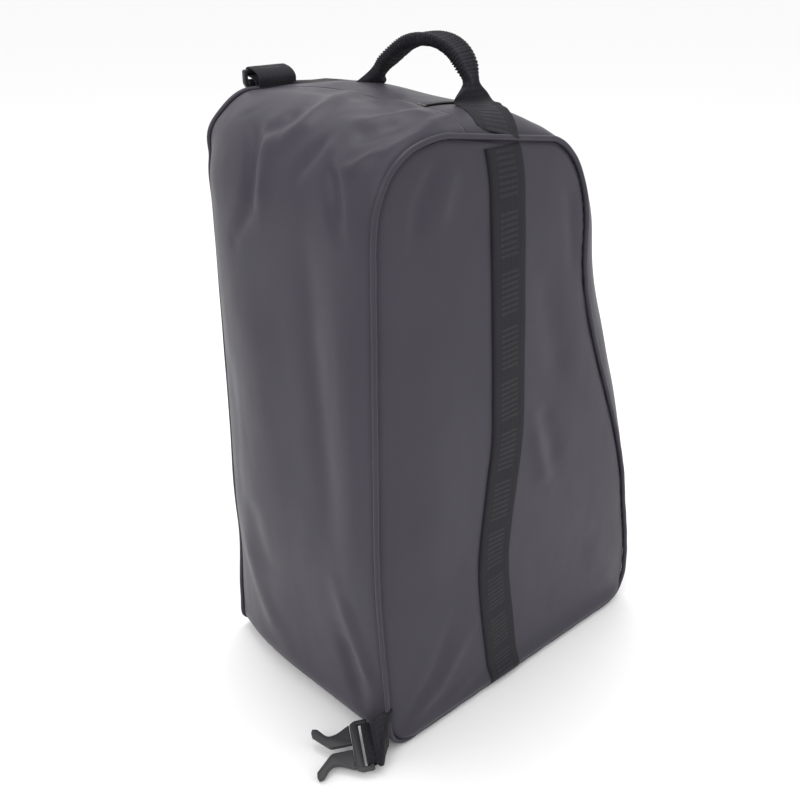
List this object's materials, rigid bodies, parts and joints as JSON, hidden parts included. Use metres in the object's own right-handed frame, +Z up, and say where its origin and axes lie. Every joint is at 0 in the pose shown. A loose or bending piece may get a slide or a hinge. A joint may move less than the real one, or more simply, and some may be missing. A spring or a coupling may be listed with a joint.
{
  "type": "riding boot bag",
  "caption": "Tall soft bag for riding boots, its front shaped like a boot, with a zipped front flap that folds open, a rolled webbing handle on top and buckle tabs for a carrying strap.",
  "frame": {"origin": "centre of the base's underside, where the bag stands", "axes": "+Z up, +X towards the toe side, -Y out of the boot-shaped front"},
  "size_m": [0.4064, 0.2606, 0.5702],
  "materials": {
    "shell": "soft matte coated fabric",
    "lining": "plain weave",
    "webbing": "twill webbing",
    "zip": "woven tape and moulded coil",
    "metal": "satin dark",
    "buckle": "fine matte"
  },
  "bodies": {
    "bag": {"side_gusset": "shell", "rear_zip_gusset": "shell", "top_zip_strip": "shell", "base_panel": "shell", "front_panel": "shell", "back_panel": "shell", "front_piping": "shell", "back_piping": "shell", "side_lining": "lining", "toe_lining": "lining", "front_lining": "lining", "back_lining": "lining", "rear_zip_tape": "zip", "rear_zip_coil": "zip", "top_zip_tape": "zip", "top_zip_coil": "zip", "zip_start_stop": "metal", "zip_end_stop": "metal", "front_webbing": "webbing", "back_webbing": "webbing", "front_anchor": "webbing", "rear_anchor": "webbing", "handle_front_foot": "webbing", "handle_rear_foot": "webbing", "lower_tab": "webbing", "lower_loop": "webbing", "upper_tab": "webbing"},
    "flap": {"front_flap": "shell", "flap_piping": "shell", "flap_strip": "shell", "flap_lining": "lining", "flap_zip_tape": "zip", "flap_zip_coil": "zip"},
    "handle": {"handle_grip": "webbing"},
    "slider": {"zip_slider": "metal"},
    "pull": {"zip_pull": "metal"},
    "lower_buckle": {"lower_buckle_frame": "buckle"},
    "lower_prong_a": {"lower_buckle_prong_a": "buckle"},
    "lower_prong_b": {"lower_buckle_prong_b": "buckle"},
    "upper_buckle": {"upper_buckle_frame": "buckle"},
    "upper_prong_a": {"upper_buckle_prong_a": "buckle"},
    "upper_prong_b": {"upper_buckle_prong_b": "buckle"}
  },
  "joints": [
    {"name": "flap_open", "type": "hinge", "parent": "bag", "child": "flap", "pos_m": [0.004, -0.1184, 0.25], "axis": [0, 0, -1], "range_deg": [0, 110]},
    {"name": "handle_swing", "type": "hinge", "parent": "bag", "child": "handle", "pos_m": [-0.0469, -0.025, 0.5462], "axis": [0, 1, 0], "range_deg": [-60, 60]},
    {"name": "zip_slide", "type": "slide", "parent": "bag", "child": "slider", "axis": [-0.2907, -0.0909, 0.9525], "range_m": [0, 0.04]},
    {"name": "pull_swing", "type": "hinge", "parent": "slider", "child": "pull", "pos_m": [0.16315, -0.08355, 0.20837], "axis": [-0.217, -0.9633, -0.1582], "range_deg": [0, 150]},
    {"name": "lower_buckle_swing", "type": "hinge", "parent": "bag", "child": "lower_buckle", "pos_m": [-0.1835, -0.106, 0.014], "axis": [0.5131, 0.8231, 0.2433], "range_deg": [-8, 55]},
    {"name": "lower_prong_a_flex", "type": "hinge", "parent": "lower_buckle", "child": "lower_prong_a", "pos_m": [-0.194, -0.0956, 0.0131], "axis": [-0.224, -0.1453, 0.9637], "range_deg": [0, 8], "stiffness_Nm_per_rad": 0.5},
    {"name": "lower_prong_b_flex", "type": "hinge", "parent": "lower_buckle", "child": "lower_prong_b", "pos_m": [-0.1971, -0.1005, 0.0117], "axis": [-0.224, -0.1453, 0.9637], "range_deg": [-8, 0], "stiffness_Nm_per_rad": 0.5},
    {"name": "upper_buckle_swing", "type": "hinge", "parent": "bag", "child": "upper_buckle", "pos_m": [-0.081, 0.129, 0.531], "axis": [1, 0, 0], "range_deg": [-8, 110]},
    {"name": "upper_prong_a_flex", "type": "hinge", "parent": "upper_buckle", "child": "upper_prong_a", "pos_m": [-0.078, 0.129, 0.5165], "axis": [0, 1, 0], "range_deg": [0, 8], "stiffness_Nm_per_rad": 0.5},
    {"name": "upper_prong_b_flex", "type": "hinge", "parent": "upper_buckle", "child": "upper_prong_b", "pos_m": [-0.084, 0.129, 0.5165], "axis": [0, 1, 0], "range_deg": [-8, 0], "stiffness_Nm_per_rad": 0.5}
  ],
  "couplings": [
    {"joint": "lower_prong_b_flex", "follows": "lower_prong_a_flex", "ratio": -1},
    {"joint": "upper_prong_b_flex", "follows": "upper_prong_a_flex", "ratio": -1}
  ]
}
